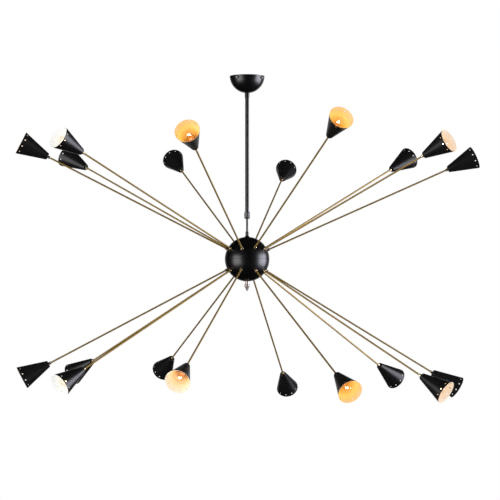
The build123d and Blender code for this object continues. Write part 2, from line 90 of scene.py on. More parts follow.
camera_data = bpy.data.cameras.new("camera")
camera_data.sensor_width = 36
camera_data.lens = focal_pixels / image_pixels * camera_data.sensor_width
camera_data.clip_end = 100
camera = bpy.data.objects.new("camera", camera_data)
bpy.context.scene.collection.objects.link(camera)
camera.location = (0, -6.785, -0.846)
camera.rotation_euler = (math.radians(90 + camera_pitch), 0, math.radians(-camera_yaw))
bpy.context.scene.camera = camera
print("lens:", round(camera_data.lens, 1), "mm")

# %% [markdown]
# ## Softboxes for the highlights
# Black paint shows its shape only by what it mirrors. The photograph has two soft patches on
# the ball: a bright, slightly blue one from a softbox at the right, and a weaker one from the
# left front. Where each patch lies on the ball gives the direction of its box: the direction
# halfway between box and camera is the one that the ball's skin faces there. These two lamps
# make highlights only. Lamps strong enough to show in black paint would wash out the enamel,
# so they are hidden from the rays that light the surfaces.

# %% Softboxes
box_distance = 3.2
box_height = 2.4


def softbox(name, direction, width, radiance, tint):
    """A rectangular lamp that faces the hub. radiance is its brightness as a surface."""
    data = bpy.data.lights.new(name, "AREA")
    data.shape = "RECTANGLE"
    data.size = width
    data.size_y = box_height
    data.energy = radiance * math.pi * width * box_height
    data.color = tint
    lamp = bpy.data.objects.new(name, data)
    bpy.context.scene.collection.objects.link(lamp)
    heading = Vector(direction).normalized()
    lamp.location = hub_middle + heading * box_distance
    lamp.rotation_euler = heading.to_track_quat("Z", "Y").to_euler()
    lamp.visible_camera = False
    lamp.visible_transmission = False
    lamp.visible_diffuse = False
    print(name, "power:", round(data.energy, 1), "W")


right_side, left_front = (0.99, -0.05, -0.03), (-0.80, -0.58, -0.10)
lilac, near_white = (0.87, 0.88, 1.0), (0.98, 0.97, 1.0)
softbox("shine_right", right_side, 2.8, 10.5, lilac)
softbox("shine_left", left_front, 2.5, 5.0, near_white)

# %% [markdown]
# ## One world for background, reflections and fill light
# The world can give a different brightness to each kind of ray. The camera and the glass see
# plain white. A reflection sees white straight behind the light and dark elsewhere, as in a
# studio with one lit wall: that keeps the black paint black, and still draws a pale edge round
# the metal. Rays that light the surfaces see a soft grey with two brighter patches: a broad one
# on the right softbox's side, and a smaller, stronger one on the left's. Lamps could give that
# fill light too. But a lamp is sampled by chance among all lamps, which leaves coarse grain in
# the cones, and a smooth patch in the world does not. The world is not sampled as a lamp
# either, because that would ignore the choice by kind of ray.

# %% World
lit_wall_edge = 0.75
lit_wall_narrowing = 0.6
dark_room = 0.012
room_grey = 0.4

world = bpy.data.worlds.new("studio")
bpy.context.scene.world = world
world.use_nodes = True
world.cycles.sampling_method = "NONE"
nodes, links = world.node_tree.nodes, world.node_tree.links
nodes.clear()
path = nodes.new("ShaderNodeLightPath")
parts = nodes.new("ShaderNodeSeparateXYZ")
around = nodes.new("ShaderNodeTexCoord").outputs["Generated"]
links.new(around, parts.inputs["Vector"])
backdrop = nodes.new("ShaderNodeMapRange")
backdrop.interpolation_type = "SMOOTHSTEP"
backdrop.inputs["From Min"].default_value = lit_wall_edge
backdrop.inputs["From Max"].default_value = 1.0
backdrop.inputs["To Min"].default_value = dark_room
backdrop.inputs["To Max"].default_value = 1.0


def feed(links, socket, value):
    """Sets a socket to a number, or links the output of another node to it."""
    if isinstance(value, float):
        socket.default_value = value
    else:
        links.new(value, socket)


def reckon(nodes, links, operation, *values):
    """A maths node. Each value is a number or the output of another node."""
    node = nodes.new("ShaderNodeMath")
    node.operation = operation
    for socket, value in zip(node.inputs, values):
        feed(links, socket, value)
    return node.outputs[0]


height_squared = reckon(nodes, links, "MULTIPLY", parts.outputs["Z"], parts.outputs["Z"])
low_wall = reckon(nodes, links, "MULTIPLY_ADD", height_squared, -lit_wall_narrowing,
                  parts.outputs["Y"])
links.new(low_wall, backdrop.inputs["Value"])


def side_glow(direction, edge, peak):
    """A soft patch of brightness round a direction. edge is the cosine at its border."""
    near = nodes.new("ShaderNodeVectorMath")
    near.operation = "DOT_PRODUCT"
    links.new(around, near.inputs[0])
    near.inputs[1].default_value = Vector(direction).normalized()
    patch = nodes.new("ShaderNodeMapRange")
    patch.interpolation_type = "SMOOTHSTEP"
    patch.inputs["From Min"].default_value = edge
    patch.inputs["From Max"].default_value = 1.0
    patch.inputs["To Max"].default_value = peak
    links.new(near.outputs["Value"], patch.inputs["Value"])
    return patch.outputs["Result"]


def room_light(ray, if_not, if_so):
    """Chooses a brightness by the kind of ray that meets the world."""
    choice = nodes.new("ShaderNodeMix")
    links.new(path.outputs[ray], choice.inputs["Factor"])
    feed(links, choice.inputs["A"], if_not)
    feed(links, choice.inputs["B"], if_so)
    return choice.outputs["Result"]


glows = reckon(nodes, links, "ADD", side_glow(right_side, 0.45, 1.1),
               side_glow(left_front, 0.7, 3.2))
fill = reckon(nodes, links, "ADD", room_grey, glows)
brightness = room_light("Is Glossy Ray", fill, backdrop.outputs["Result"])
brightness = room_light("Is Transmission Ray", brightness, 1.0)
brightness = room_light("Is Camera Ray", brightness, 1.0)
room = nodes.new("ShaderNodeBackground")
room.inputs["Color"].default_value = (1, 1, 1, 1)
world_out = nodes.new("ShaderNodeOutputWorld")
links.new(brightness, room.inputs["Strength"])
links.new(room.outputs[0], world_out.inputs["Surface"])
bpy.context.scene.view_settings.view_transform = "Standard"
print("world nodes:", len(nodes))

# %% [markdown]
# ## Helpers for node materials
# Every finish starts from a Principled BSDF. The effects that several finishes share are node
# groups: a slow change of tone, a fine grain, and lines that a brush or a lathe leaves. A group
# puts out only colours, values and normals, and the shader itself stays in the material.

# %% Material helpers
def new_finish(name):
    """A material with only a Principled BSDF. Returns it with its nodes, links and shader."""
    material = bpy.data.materials.new(name)
    material.use_nodes = True
    tree = material.node_tree
    tree.nodes.clear()
    shader = tree.nodes.new("ShaderNodeBsdfPrincipled")
    out = tree.nodes.new("ShaderNodeOutputMaterial")
    tree.links.new(shader.outputs["BSDF"], out.inputs["Surface"])
    return material, tree.nodes, tree.links, shader


def new_group(name, inputs, outputs):
    """A node group. inputs are (name, kind, value) and outputs are (name, kind)."""
    group = bpy.data.node_groups.new(name, "ShaderNodeTree")
    for socket_name, kind, value in inputs:
        socket = group.interface.new_socket(socket_name, in_out="INPUT", socket_type=kind)
        if value is not None:
            socket.default_value = value
    for socket_name, kind in outputs:
        group.interface.new_socket(socket_name, in_out="OUTPUT", socket_type=kind)
    entry = group.nodes.new("NodeGroupInput")
    leave = group.nodes.new("NodeGroupOutput")
    return group, entry, leave


def place_group(nodes, links, group, place, **values):
    """Puts a group into a material, fed with a place in space, and sets its values."""
    node = nodes.new("ShaderNodeGroup")
    node.node_tree = group
    links.new(place, node.inputs["Place"])
    for key, value in values.items():
        node.inputs[key.replace("_", " ").title()].default_value = value
    return node


FLOAT, COLOUR, VECTOR = "NodeSocketFloat", "NodeSocketColor", "NodeSocketVector"

# %% Group: slow change of tone
tone, tone_in, tone_out = new_group(
    "slow_tone",
    [("Place", VECTOR, None), ("Scale", FLOAT, 20.0), ("Light", COLOUR, (1, 1, 1, 1)),
     ("Dark", COLOUR, (0, 0, 0, 1)), ("Smooth", FLOAT, 0.3), ("Rough", FLOAT, 0.5)],
    [("Color", COLOUR), ("Roughness", FLOAT)])
cloud = tone.nodes.new("ShaderNodeTexNoise")
cloud.inputs["Detail"].default_value = 5
cloud.inputs["Roughness"].default_value = 0.6
spread = tone.nodes.new("ShaderNodeMapRange")
spread.inputs["From Min"].default_value = 0.3
spread.inputs["From Max"].default_value = 0.7
blend = tone.nodes.new("ShaderNodeMix")
blend.data_type = "RGBA"
gloss = tone.nodes.new("ShaderNodeMapRange")
tone.links.new(tone_in.outputs["Place"], cloud.inputs["Vector"])
tone.links.new(tone_in.outputs["Scale"], cloud.inputs["Scale"])
tone.links.new(cloud.outputs["Fac"], spread.inputs["Value"])
tone.links.new(spread.outputs["Result"], blend.inputs["Factor"])
tone.links.new(tone_in.outputs["Dark"], blend.inputs["A"])
tone.links.new(tone_in.outputs["Light"], blend.inputs["B"])
tone.links.new(blend.outputs["Result"], tone_out.inputs["Color"])
tone.links.new(spread.outputs["Result"], gloss.inputs["Value"])
tone.links.new(tone_in.outputs["Rough"], gloss.inputs["To Min"])
tone.links.new(tone_in.outputs["Smooth"], gloss.inputs["To Max"])
tone.links.new(gloss.outputs["Result"], tone_out.inputs["Roughness"])
print("slow_tone:", len(tone.nodes), "nodes")

# %% Group: fine grain of a sprayed or moulded skin
grain, grain_in, grain_out = new_group(
    "fine_grain",
    [("Place", VECTOR, None), ("Scale", FLOAT, 900.0), ("Height", FLOAT, 0.000004)],
    [("Normal", VECTOR)])
peel = grain.nodes.new("ShaderNodeTexNoise")
peel.inputs["Detail"].default_value = 1
grain_bump = grain.nodes.new("ShaderNodeBump")
grain.links.new(grain_in.outputs["Place"], peel.inputs["Vector"])
grain.links.new(grain_in.outputs["Scale"], peel.inputs["Scale"])
grain.links.new(peel.outputs["Fac"], grain_bump.inputs["Height"])
grain.links.new(grain_in.outputs["Height"], grain_bump.inputs["Distance"])
grain.links.new(grain_bump.outputs["Normal"], grain_out.inputs["Normal"])
print("fine_grain:", len(grain.nodes), "nodes")

# %% Group: brushed lines across one direction
brush, brush_in, brush_out = new_group(
    "brushed_lines",
    [("Place", VECTOR, None), ("Stretch", VECTOR, (1, 1, 1)), ("Scale", FLOAT, 400.0),
     ("Height", FLOAT, 0.000002)],
    [("Normal", VECTOR), ("Mask", FLOAT)])
pull = brush.nodes.new("ShaderNodeVectorMath")
pull.operation = "MULTIPLY"
hairs = brush.nodes.new("ShaderNodeTexNoise")
hairs.inputs["Detail"].default_value = 4
brush_bump = brush.nodes.new("ShaderNodeBump")
brush.links.new(brush_in.outputs["Place"], pull.inputs[0])
brush.links.new(brush_in.outputs["Stretch"], pull.inputs[1])
brush.links.new(pull.outputs["Vector"], hairs.inputs["Vector"])
brush.links.new(brush_in.outputs["Scale"], hairs.inputs["Scale"])
brush.links.new(hairs.outputs["Fac"], brush_bump.inputs["Height"])
brush.links.new(brush_in.outputs["Height"], brush_bump.inputs["Distance"])
brush.links.new(brush_bump.outputs["Normal"], brush_out.inputs["Normal"])
brush.links.new(hairs.outputs["Fac"], brush_out.inputs["Mask"])
print("brushed_lines:", len(brush.nodes), "nodes")

# %% [markdown]
# ## The finishes
# A spray-painted metal, a brass and a plastic differ in few things: the colour, how metallic it
# is, how rough, and the size of its grain. One function makes all the finishes that have only
# these, so that each is one call. The lampholder and the bulb's cap sit deep in a lit cone, so
# they also carry a little of the bulb's light, as a glow.

# %% Plain finishes
def worked_finish(name, light, dark, smooth, rough, metallic=0.0, scale=20.0,
                  peel_scale=900.0, peel_height=0.000004, stretch=None, specular=0.5, glow=None):
    """A finish with a slow change of tone and either a fine grain or brushed lines, and a painted
    glow of light when glow is given.
    """
    material, nodes, links, shader = new_finish(name)
    place = nodes.new("ShaderNodeTexCoord").outputs["Object"]
    tint = place_group(nodes, links, tone, place, scale=scale, light=(*light, 1),
                       dark=(*dark, 1), smooth=smooth, rough=rough)
    if stretch:
        skin = place_group(nodes, links, brush, place, scale=peel_scale, height=peel_height,
                           stretch=stretch)
    else:
        skin = place_group(nodes, links, grain, place, scale=peel_scale, height=peel_height)
    links.new(tint.outputs["Color"], shader.inputs["Base Color"])
    links.new(tint.outputs["Roughness"], shader.inputs["Roughness"])
    links.new(skin.outputs["Normal"], shader.inputs["Normal"])
    shader.inputs["Metallic"].default_value = metallic
    shader.inputs["Specular IOR Level"].default_value = specular
    if glow:
        shader.inputs["Emission Color"].default_value = (*glow, 1)
        shader.inputs["Emission Strength"].default_value = 1.0
    return material


satin_black = worked_finish("satin_black", (0.0025, 0.0025, 0.003), (0.0015, 0.0015, 0.002),
                            0.30, 0.35, scale=12.0, peel_height=0.000001)
shade_black = worked_finish("shade_black", (0.010, 0.009, 0.009), (0.006, 0.0055, 0.0055),
                            0.32, 0.38, scale=12.0, peel_height=0.000001, specular=0.28)
antique_brass = worked_finish("antique_brass", (0.37, 0.245, 0.075), (0.30, 0.195, 0.060),
                              0.48, 0.58, metallic=0.55, specular=0.2, scale=10.0, peel_scale=500.0,
                              peel_height=0.000001, stretch=(1, 1, 0.2))
ferrule_brass = worked_finish("ferrule_brass", (0.80, 0.69, 0.46), (0.62, 0.48, 0.28),
                              0.28, 0.42, metallic=1.0, scale=90.0)
rose_brass = worked_finish("rose_brass", (0.58, 0.50, 0.46), (0.44, 0.36, 0.32),
                           0.30, 0.42, metallic=0.6, scale=80.0)
# The bulb caps and the holder's lip carry a painted glow of the bulb's light.
cap_nickel = worked_finish("cap_nickel", (0.62, 0.42, 0.24), (0.46, 0.28, 0.14),
                           0.25, 0.38, metallic=1.0, scale=80.0, glow=(0.75, 0.20, 0.015))
dull_nickel = worked_finish("dull_nickel", (0.32, 0.30, 0.28), (0.22, 0.20, 0.19),
                            0.22, 0.34, metallic=1.0, scale=80.0)
collar_grey = worked_finish("collar_grey", (0.20, 0.20, 0.21), (0.07, 0.07, 0.075),
                            0.32, 0.50, metallic=0.6, scale=150.0)
zinc_plate = worked_finish("zinc_plate", (0.66, 0.65, 0.60), (0.48, 0.47, 0.43),
                           0.28, 0.45, metallic=1.0, scale=60.0, stretch=(1, 0.1, 1))
white_nylon = worked_finish("white_nylon", (0.80, 0.79, 0.74), (0.70, 0.69, 0.63), 0.45, 0.6)
# The holder's moulding carries a faint painted glow of the bulb's light.
moulded_black = worked_finish("moulded_black", (0.030, 0.022, 0.016), (0.014, 0.010, 0.008),
                              0.35, 0.55, peel_scale=1400.0, glow=(0.16, 0.045, 0.006))
cable_skin = worked_finish("cable_skin", (0.030, 0.030, 0.032), (0.018, 0.018, 0.02), 0.45, 0.6)
print("finishes:", len(bpy.data.materials))

# %% [markdown]
# ## White enamel that glows
# The inside of each shade is sprayed white, and the lit bulb turns it warm: deep orange near
# the bulb, paler towards the rim, where light from the room joins in. Twenty real lamps
# would also work, but they need many samples to come out clean. So the enamel carries the
# warm light itself, as an emission that follows the depth in the cone: painted bulb light.
# The depth is stored as the V of a UV map, which an export keeps. Each stop of the ramp has
# its own base colour and glow. The base colour is the white enamel with painted shade and
# painted bulb light mixed in, so it is darkest and brownest round the holder. The glow is
# painted bulb light. Round the holder the enamel is a dark orange, beside the bulb it is
# brightest, and towards the rim it turns paler. How warm it looks also depends on how much of
# the room's light reaches into the cone, so there are four lit copies of the enamel, with
# painted light and shade to match: three of the front lamps, the fourth one, those at the
# sides and the back, and the two at the left that face the stronger patch.

# %% Glowing enamel
enamel_strength = 0.9


def glowing_enamel(name, stops):
    """White enamel with painted bulb light and shade. Each stop is (depth, base colour, glow
    colour).
    """
    material, nodes, links, shader = new_finish(name)
    lie = nodes.new("ShaderNodeUVMap")
    lie.uv_map = "turned"
    split = nodes.new("ShaderNodeSeparateXYZ")
    links.new(lie.outputs["UV"], split.inputs["Vector"])
    for column, socket in enumerate(("Base Color", "Emission Color"), start=1):
        ramp = nodes.new("ShaderNodeValToRGB")
        marks = ramp.color_ramp.elements
        marks.remove(marks[0])
        for stop in stops[1:]:
            marks.new(stop[0])
        for mark, stop in zip(marks, stops):
            mark.position = stop[0]
            mark.color = (*stop[column], 1)
        links.new(split.outputs["Y"], ramp.inputs["Fac"])
        links.new(ramp.outputs["Color"], shader.inputs[socket])
    place = nodes.new("ShaderNodeTexCoord").outputs["Object"]
    skin = place_group(nodes, links, grain, place, scale=700.0, height=0.000004)
    links.new(skin.outputs["Normal"], shader.inputs["Normal"])
    shader.inputs["Emission Strength"].default_value = enamel_strength
    shader.inputs["Roughness"].default_value = 0.45
    return material


# Four lit copies of the enamel: their base colours hold painted shade and bulb light, and their
# glows are painted bulb light.
enamel_bright = glowing_enamel("enamel_bright", (
    (0.36, (0.15, 0.08, 0.03), (0.50, 0.15, 0.02)),
    (0.50, (0.35, 0.24, 0.10), (0.80, 0.34, 0.04)),
    (0.72, (0.42, 0.34, 0.22), (0.90, 0.52, 0.09)),
    (1.00, (0.45, 0.38, 0.30), (0.70, 0.34, 0.07))))
enamel_warm = glowing_enamel("enamel_warm", (
    (0.36, (0.25, 0.15, 0.07), (0.50, 0.18, 0.04)),
    (0.50, (0.40, 0.32, 0.22), (0.90, 0.46, 0.15)),
    (0.72, (0.50, 0.45, 0.38), (0.78, 0.53, 0.27)),
    (1.00, (0.55, 0.53, 0.50), (0.66, 0.52, 0.38))))
enamel_pale = glowing_enamel("enamel_pale", (
    (0.40, (0.30, 0.22, 0.12), (0.70, 0.38, 0.12)),
    (0.70, (0.45, 0.42, 0.36), (0.70, 0.43, 0.23)),
    (1.00, (0.55, 0.55, 0.53), (0.56, 0.42, 0.30))))
enamel_white = glowing_enamel("enamel_white", (
    (0.40, (0.30, 0.24, 0.16), (0.75, 0.55, 0.30)),
    (0.70, (0.50, 0.49, 0.46), (0.64, 0.62, 0.54)),
    (1.00, (0.58, 0.58, 0.58), (0.50, 0.52, 0.54))))

# %% [markdown]
# ## A lathe in code
# Most pieces here are turned or spun, so one helper makes them: it turns an outline of
# (radius, height) points round the Z axis. A screw modifier could do it too, but the helper
# can also write the UV map and pick a material for each stretch of the outline.

# %% Lathe
def finish_mesh(name, mesh_maker, materials, sharp=35):
    """Turns a bmesh into an object, smooth except at edges over sharp degrees."""
    bmesh.ops.remove_doubles(mesh_maker, verts=mesh_maker.verts, dist=1e-6)
    bmesh.ops.recalc_face_normals(mesh_maker, faces=mesh_maker.faces)
    for face in mesh_maker.faces:
        face.smooth = True
    for edge in mesh_maker.edges:
        if len(edge.link_faces) == 2 and edge.calc_face_angle(0) > math.radians(sharp):
            edge.smooth = False
    data = bpy.data.meshes.new(name)
    mesh_maker.to_mesh(data)
    mesh_maker.free()
    for material in materials:
        data.materials.append(material)
    return data


def turned(bm, outline, steps=48, closed=False, slot_at=None, wobble=None):
    """Turns an outline of (radius, height) into bm, and writes its UV map."""
    uv = bm.loops.layers.uv.verify()
    rings = []
    for radius, height in outline:
        ring = []
        for step in range(steps):
            angle = 2 * math.pi * step / steps
            here = radius + (wobble(angle, radius, height) if wobble else 0)
            ring.append(bm.verts.new((here * math.cos(angle), here * math.sin(angle), height)))
        rings.append(ring)
    count = len(outline) if closed else len(outline) - 1
    for row in range(count):
        low, high = rings[row], rings[(row + 1) % len(outline)]
        for step in range(steps):
            after = (step + 1) % steps
            corners = [low[step], low[after], high[after], high[step]]
            face = bm.faces.new(corners)
            face.material_index = slot_at[row] if slot_at else 0
            for loop, (u, v) in zip(face.loops, ((step, row), (step + 1, row),
                                                 (step + 1, row + 1), (step, row + 1))):
                loop[uv].uv = (u / steps, v / count)
    return rings


# %% [markdown]
# ## The cone shade
# A shade is spun from sheet: a plain cone with a rounded shoulder, an even wall, and ten punched
# holes near the rim. Cutting the holes with a boolean would leave long thin faces that shade
# badly. Here the faces of the band with the holes are laid out one by one instead: round each
# hole the grid closes in on a ring, so that all faces stay four-sided and the cone keeps a clean
# shine.

# %% Sizes of a lamp
shade_start = 0.7635
shade_length = 0.102
narrow_radius = 0.011
mouth_radius = 0.040
shade_wall = 0.001
shoulder_radius = 0.0025
spigot_radius = 0.0038
hole_count = 10
hole_radius = 0.0022
hole_inset = 0.009
rim_band = 0.0022
rim_bevel = 0.0002
rim_round = 0.0003
slope = (mouth_radius - narrow_radius) / shade_length
lean = math.hypot(1, slope)
print("the cone opens by", round(2 * math.degrees(math.atan(slope)), 1), "degrees")


def cone_radius(height, inside):
    """Radius of the cone's outer or inner face at a height over its narrow end."""
    return narrow_radius + slope * height - (shade_wall * lean if inside else 0)


def cone_point(bm, angle, height, inside):
    radius = cone_radius(height, inside)
    return bm.verts.new((radius * math.cos(angle), radius * math.sin(angle),
                         shade_start + height))


# %% The band with the holes
columns = 12
patch_columns = 6
patch_half = 0.0052
hole_height = shade_length - hole_inset
band_rows = [hole_height + patch_half * (2 * row / patch_columns - 1)
             for row in range(patch_columns + 1)]


def patch_border(middle, step_angle):
    """The grid points round a hole's patch, as (angle, height), anticlockwise."""
    half = patch_columns // 2
    low, high = band_rows[0], band_rows[-1]
    border = [(middle + (k - half) * step_angle, low) for k in range(patch_columns)]
    border += [(middle + half * step_angle, band_rows[k]) for k in range(patch_columns)]
    border += [(middle + (half - k) * step_angle, high) for k in range(patch_columns)]
    border += [(middle - half * step_angle, band_rows[-1 - k]) for k in range(patch_columns)]
    return border


def hole_rings(bm, middle, step_angle, inside):
    """Rings of vertices from a patch's border in to the hole's edge."""
    border = patch_border(middle, step_angle)
    girth = cone_radius(hole_height, inside)
    rings = []
    for share in (0.0, 0.45, 0.8, 1.0):
        ring = []
        for angle, height in border:
            across, rise = (angle - middle) * girth, (height - hole_height) * lean
            reach = math.hypot(across, rise)
            scale = (1 - share) + share * hole_radius / reach
            ring.append(cone_point(bm, middle + across * scale / girth,
                                   hole_height + rise * scale / lean, inside))
        rings.append(ring)
    return rings


# %% Build one shade
def shade_face(bm, uv, corners, slot):
    """A face of the shade. V in its UV map is the depth: 0 narrow end, 1 rim."""
    face = bm.faces.new(corners)
    face.material_index = slot
    for loop in face.loops:
        place = loop.vert.co
        turn = math.atan2(place.y, place.x) / (2 * math.pi) % 1
        loop[uv].uv = (turn, (place.z - shade_start) / shade_length)
    return face


def shade_mesh(name, enamel):
    """A whole shade: outside, inside, rim, hole edges, and the end that the arm is screwed to."""
    bm = bmesh.new()
    uv = bm.loops.layers.uv.new("turned")
    steps = hole_count * columns
    step_angle = 2 * math.pi / steps
    plain = [0.0, 0.012, 0.026, 0.04, 0.054, 0.068, 0.077, band_rows[0]]
    hole_edges = {}
    for inside in (False, True):
        slot = 1 if inside else 0
        heights = [max(h, shoulder_radius) for h in plain]
        heights += [shade_length - rim_band, shade_length - rim_bevel]
        rings = [[cone_point(bm, k * step_angle, h, inside) for k in range(steps)]
                 for h in heights]
        for low, high in zip(rings, rings[1:]):
            if low is rings[len(plain) - 1]:
                continue
            for k in range(steps):
                shade_face(bm, uv, [low[k], low[(k + 1) % steps], high[(k + 1) % steps], high[k]],
                           slot)
        for hole in range(hole_count):
            middle = (hole + 0.5) * columns * step_angle
            loops = hole_rings(bm, middle, step_angle, inside)
            for outer, inner in zip(loops, loops[1:]):
                for k in range(len(outer)):
                    after = (k + 1) % len(outer)
                    shade_face(bm, uv, [outer[k], outer[after], inner[after], inner[k]], slot)
            hole_edges[hole, inside] = loops[-1]
            start = round(middle / step_angle + patch_columns / 2)
            for k in range(columns - patch_columns):
                for row in range(patch_columns):
                    corners = [cone_point(bm, (start + k + a) * step_angle, band_rows[row + b],
                                          inside) for a, b in ((0, 0), (1, 0), (1, 1), (0, 1))]
                    shade_face(bm, uv, corners, slot)
        top = band_rows[-1]
        for k in range(steps):
            corners = [cone_point(bm, (k + a) * step_angle, h, inside)
                       for a, h in ((0, top), (1, top), (1, shade_length - rim_band),
                                    (0, shade_length - rim_band))]
            shade_face(bm, uv, corners, slot)
    for hole in range(hole_count):
        outer, inner = hole_edges[hole, False], hole_edges[hole, True]
        for k in range(len(outer)):
            after = (k + 1) % len(outer)
            shade_face(bm, uv, [outer[k], outer[after], inner[after], inner[k]], 0)
    add_shade_ends(bm, uv, steps, step_angle)
    return finish_mesh(name, bm, [shade_black, enamel], sharp=40)


def add_shade_ends(bm, uv, steps, step_angle):
    """The rounded rim, and the shoulder that closes the narrow end round the arm."""
    def ring(radius, height):
        return [bm.verts.new((radius * math.cos(k * step_angle),
                              radius * math.sin(k * step_angle), shade_start + height))
                for k in range(steps)]

    def skin(low, high, slot):
        for k in range(steps):
            after = (k + 1) % steps
            shade_face(bm, uv, [low[k], low[after], high[after], high[k]], slot)

    top = shade_length - rim_bevel
    outer, inner = cone_radius(top, False), cone_radius(top, True)
    rim = [ring(outer, top), ring(outer - rim_round, shade_length),
           ring(inner + rim_round, shade_length), ring(inner, top)]
    for low, high in zip(rim, rim[1:]):
        skin(low, high, 1)
    shoulder = [ring(cone_radius(shoulder_radius, False), shoulder_radius)]
    for angle in (30, 60, 90):
        swing = math.radians(angle)
        edge = cone_radius(shoulder_radius, False)
        shoulder.append(ring(edge - shoulder_radius * (1 - math.cos(swing)),
                             shoulder_radius * (1 - math.sin(swing))))
    shoulder.append(ring(spigot_radius, 0))
    shoulder.append(ring(spigot_radius, shade_wall))
    shoulder.append(ring(cone_radius(shoulder_radius, True) - 0.0008, shade_wall))
    shoulder.append(ring(cone_radius(shoulder_radius, True), shoulder_radius))
    for row, (low, high) in enumerate(zip(shoulder, shoulder[1:])):
        skin(low, high, 0 if row < 4 else 1)


shade_bright = shade_mesh("shade_bright", enamel_bright)
shade_warm = shade_mesh("shade_warm", enamel_warm)
shade_pale = shade_mesh("shade_pale", enamel_pale)
shade_white = shade_mesh("shade_white", enamel_white)
print("faces in a shade:", len(shade_bright.polygons))

# %% [markdown]
# ## Put the shades on the arms
# One mesh could serve many shades, each object only standing it on its own arm, and the small
# pieces inside are placed that way. But the shades are the outermost pieces. A tilted object is
# measured by a tilted box, which sticks out past the round rim. So each shade gets a copy of the
# mesh that is itself moved to its arm, and its upright box stays that of the CAD model.

# %% Shades
# Each shade gets the enamel copy whose painted light and shade suit how much room light falls into
# it. The others get the pale one.
shade_of = {"upper_01": shade_bright, "upper_02": shade_bright, "lower_02": shade_bright,
            "lower_01": shade_warm, "upper_10": shade_white, "lower_10": shade_white}


def stand_on_arm(name, data, arm, node):
    """An object of the mesh on an arm, riding with the lamp's body and standing for a node."""
    piece = bpy.data.objects.new(name, data)
    bpy.context.scene.collection.objects.link(piece)
    piece.matrix_world = arm_matrix(arm)
    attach(piece, "light_head")
    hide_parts(node)
    return piece


for arm in arm_names:
    cone = stand_on_arm("cone_" + arm, shade_of.get(arm, shade_pale).copy(), arm,
                        "shade_" + arm)
    cone.data.transform(arm_matrix(arm))
    cone.matrix_world = Matrix()
print("shades:", len(arm_names))

# %% [markdown]
# ## The lampholder
# Deep in the cone sits a moulded lampholder: a neck on the arm's thread, a ribbed skirt, and a
# bright metal lip where the bulb screws in. The ribs give the fingers a grip, and on the
# real one they are part of the moulding. They come from a small wave in the lathe's radius.

# %% Lampholder
holder_neck_radius = 0.007
holder_neck_top = 0.010
holder_radius = 0.012
holder_top = 0.054
socket_floor = 0.032
socket_radius = 0.0074
lip_radius = 0.0092
lip_step = 0.0006
rib_count = 24
rib_start = 0.016
rib_end = 0.042
rib_depth = 0.0005
rib_fade = 0.0002


def holder_ribs(angle, radius, height):
    """Shallow upright ribs on the skirt only."""
    rise = height - shade_start
    if radius < holder_radius * 0.97 or not rib_start < rise < rib_end:
        return 0
    return -rib_depth * (0.5 + 0.5 * math.cos(rib_count * angle))


def holder_mesh():
    """The moulded body and the metal lip inside its mouth."""
    outline = [(spigot_radius, 0.0012), (holder_neck_radius, 0.0012),
               (holder_neck_radius, holder_neck_top - 0.001),
               (holder_neck_radius + 0.001, holder_neck_top),
               (holder_radius - 0.0012, holder_neck_top),
               (holder_radius, holder_neck_top + 0.0012), (holder_radius, rib_start - rib_fade),
               (holder_radius, rib_start + rib_fade), (holder_radius, (rib_start + rib_end) / 2),
               (holder_radius, rib_end - rib_fade), (holder_radius, rib_end + rib_fade),
               (holder_radius, holder_top - 0.0015),
               (holder_radius - 0.0004, holder_top - 0.0004), (holder_radius - 0.0015, holder_top),
               (lip_radius, holder_top), (lip_radius - lip_step, holder_top - lip_step),
               (socket_radius, holder_top - lip_step),
               (socket_radius, socket_floor), (spigot_radius, socket_floor)]
    slots = [0] * 14 + [1, 1] + [0] * 3
    bm = bmesh.new()
    turned(bm, [(r, h + shade_start) for r, h in outline], steps=96, closed=True,
           slot_at=slots, wobble=holder_ribs)
    return finish_mesh("lampholder", bm, [moulded_black, cap_nickel])


holder_shape = holder_mesh()
for arm in arm_names:
    stand_on_arm("holder_" + arm, holder_shape, arm, "lampholders")
print("faces in a lampholder:", len(holder_shape.polygons))

# %% [markdown]
# ## The bulb
# A small clear round bulb: a blown glass ball with a real wall, a threaded cap, and inside
# it a glass stem that carries a coiled filament. Clear glass needs both its faces, because
# light bends at each. The filament is what makes the white spots in the photograph. It is
# bright only for rays that reach it straight or through glass. A reflection or a bounce that
# hits so small and bright a thing by chance would sprinkle the enamel with sparks. For the
# same reason the glass lets the enamel's rays and shadows pass as if it were air.

# %% Glass and filament finishes
wire_brightness = 25.0

bulb_glass, nodes, links, shader = new_finish("bulb_glass")
shader.inputs["Base Color"].default_value = (1.0, 0.97, 0.92, 1)
shader.inputs["Transmission Weight"].default_value = 1.0
shader.inputs["IOR"].default_value = 1.45
place = nodes.new("ShaderNodeTexCoord").outputs["Object"]
haze = place_group(nodes, links, tone, place, scale=45.0, smooth=0.0, rough=0.06)
links.new(haze.outputs["Roughness"], shader.inputs["Roughness"])
ripple = place_group(nodes, links, grain, place, scale=60.0, height=0.00003)
links.new(ripple.outputs["Normal"], shader.inputs["Normal"])

